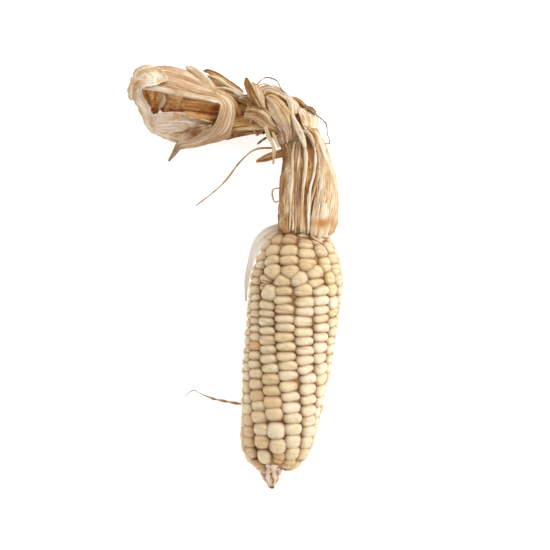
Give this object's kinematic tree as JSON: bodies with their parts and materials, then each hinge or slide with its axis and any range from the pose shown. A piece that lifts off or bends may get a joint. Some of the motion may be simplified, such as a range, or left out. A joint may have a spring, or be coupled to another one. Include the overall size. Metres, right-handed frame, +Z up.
{
  "type": "corn cob",
  "caption": "Dried pale corn cob lying down, husk leaves pulled back over the butt, tied, bent over and wound into an open loop.",
  "frame": {"origin": "bottom centre of the whole object's box, on the surface it lies on", "axes": "+Y from the bare tip towards the husk end, +Z up from the surface, the husk loop towards -X"},
  "size_m": [0.11, 0.2135, 0.0476],
  "materials": {
    "kernel": "smooth dry kernel skin, slight sheen",
    "stalk": "dry pithy stalk",
    "husk_pale": "dry papery leaf, fine parallel veins",
    "husk_cream": "bleached thin leaf",
    "husk_tan": "dry leaf, ochre tan",
    "husk_mauve": "dry ribbed leaf, mauve brown",
    "husk_brown": "dark inner leaf"
  },
  "bodies": {
    "root": {"ear": "kernel", "stalk": "stalk", "neck_leaf_right": "husk_pale", "neck_leaf_ribbed": "husk_mauve", "neck_leaf_tan": "husk_tan", "neck_leaf_twisted": "husk_brown", "neck_leaf_under_left": "husk_tan", "neck_leaf_under_right": "husk_pale", "inner_leaf_top": "husk_tan", "inner_leaf_left": "husk_tan", "inner_leaf_bottom": "husk_tan", "tie_left": "husk_tan", "tie_diagonal": "husk_mauve", "papery_flap": "husk_cream", "tie_ribbon": "husk_cream", "stick_leaf": "husk_tan", "pale_stub_long": "husk_cream", "pale_stub_short": "husk_cream", "dark_stub": "husk_brown", "loop_leaf_outer": "husk_pale", "loop_leaf_inner": "husk_pale", "loop_floor_leaf": "husk_brown", "mouth_leaf_right": "husk_brown", "mouth_leaf_left": "husk_tan", "mouth_curl": "husk_cream", "pointed_leaf": "husk_tan", "striped_leaf": "husk_cream", "side_leaf": "husk_cream", "brown_flake": "husk_brown", "long_strand": "husk_cream", "right_thread": "husk_brown", "top_thread": "husk_tan", "neck_curl": "husk_cream", "ear_strand": "husk_tan", "silk_hair": "husk_brown"}
  },
  "joints": []
}
